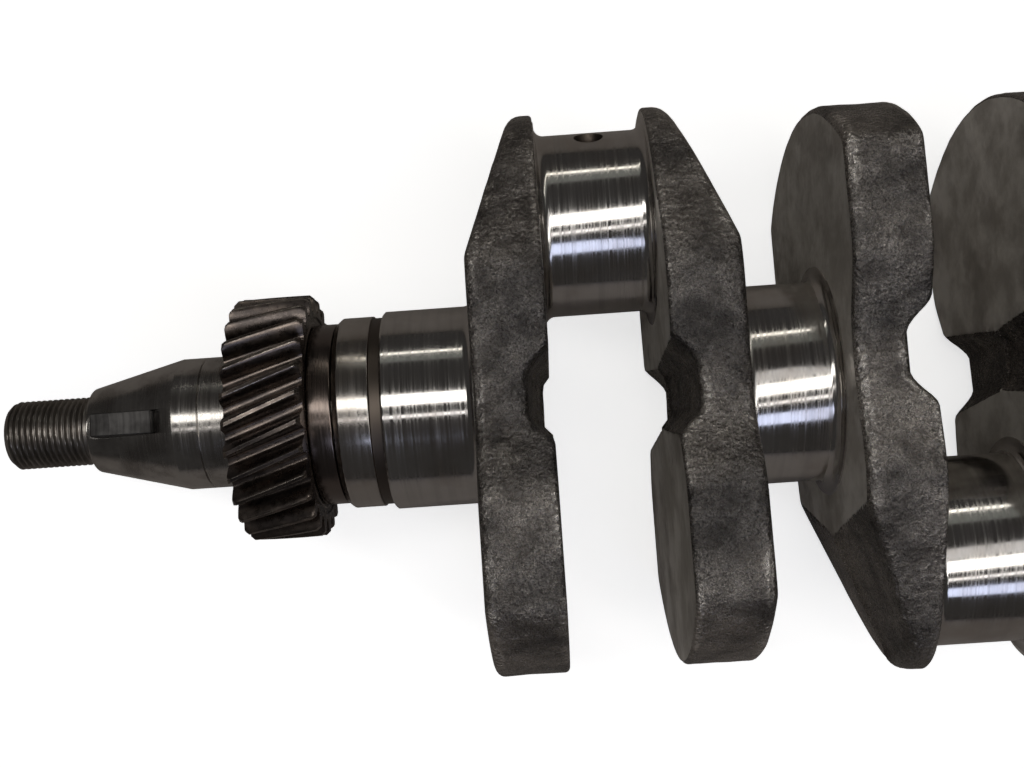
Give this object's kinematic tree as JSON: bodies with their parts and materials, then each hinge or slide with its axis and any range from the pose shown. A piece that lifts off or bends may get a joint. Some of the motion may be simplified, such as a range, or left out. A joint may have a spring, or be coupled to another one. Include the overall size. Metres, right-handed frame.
{
  "type": "crankshaft",
  "caption": "Forged crankshaft for a small in-line engine: tapered threaded nose, helical timing gear, counterweighted throws, flywheel flange with pilot bearing.",
  "frame": {"origin": "centre of the flywheel face, on the main journal axis", "axes": "+X along the main journals and out of the flywheel flange, the nose towards -X; +Y along the throw of the first and last crankpins; +Z square to the plane of the throws, the side of the nose key"},
  "size_m": [0.5165, 0.1516, 0.096],
  "materials": {
    "forged_steel": "shot-blasted forging, oiled, with turned cheeks",
    "ground_journal": "ground and polished",
    "turned_steel": "fine turned",
    "thread_steel": "cut thread, oiled",
    "gear_steel": "hardened and oiled, brown-black",
    "collar_steel": "polished, brown",
    "key_steel": "matt",
    "bearing_steel": "ground and polished",
    "cage_brass": "pressed",
    "shield_steel": "pressed sheet"
  },
  "bodies": {
    "crank": {"nose_thread": "thread_steel", "nose_taper": "turned_steel", "nose_cylinder": "turned_steel", "gear_seat": "turned_steel", "front_seal_land": "ground_journal", "main_journal_1": "ground_journal", "main_journal_2": "ground_journal", "main_journal_3": "ground_journal", "main_journal_4": "ground_journal", "main_journal_5": "ground_journal", "crankpin_1": "ground_journal", "crankpin_2": "ground_journal", "crankpin_3": "ground_journal", "crankpin_4": "ground_journal", "web_1": "forged_steel", "web_2": "forged_steel", "web_3": "forged_steel", "web_4": "forged_steel", "web_5": "forged_steel", "web_6": "forged_steel", "web_7": "forged_steel", "web_8": "forged_steel", "rear_seal_land": "ground_journal", "flywheel_flange": "turned_steel", "timing_gear": "gear_steel", "spacer_collar": "collar_steel", "gear_key": "key_steel", "pulley_key": "key_steel", "flywheel_dowel": "bearing_steel", "pilot_outer_ring": "bearing_steel", "pilot_shields": "shield_steel"},
    "bearing_inner": {"pilot_inner_ring": "bearing_steel"},
    "bearing_cage": {"pilot_balls": "bearing_steel", "pilot_cage": "cage_brass"}
  },
  "joints": [
    {"name": "pilot_spin", "type": "hinge", "parent": "crank", "child": "bearing_inner", "pos_m": [-0.0035, 0, 0], "axis": [1, 0, 0], "continuous": true},
    {"name": "cage_spin", "type": "hinge", "parent": "crank", "child": "bearing_cage", "pos_m": [-0.0035, 0, 0], "axis": [1, 0, 0], "continuous": true}
  ],
  "couplings": [
    {"joint": "cage_spin", "follows": "pilot_spin", "ratio": 0.38}
  ]
}
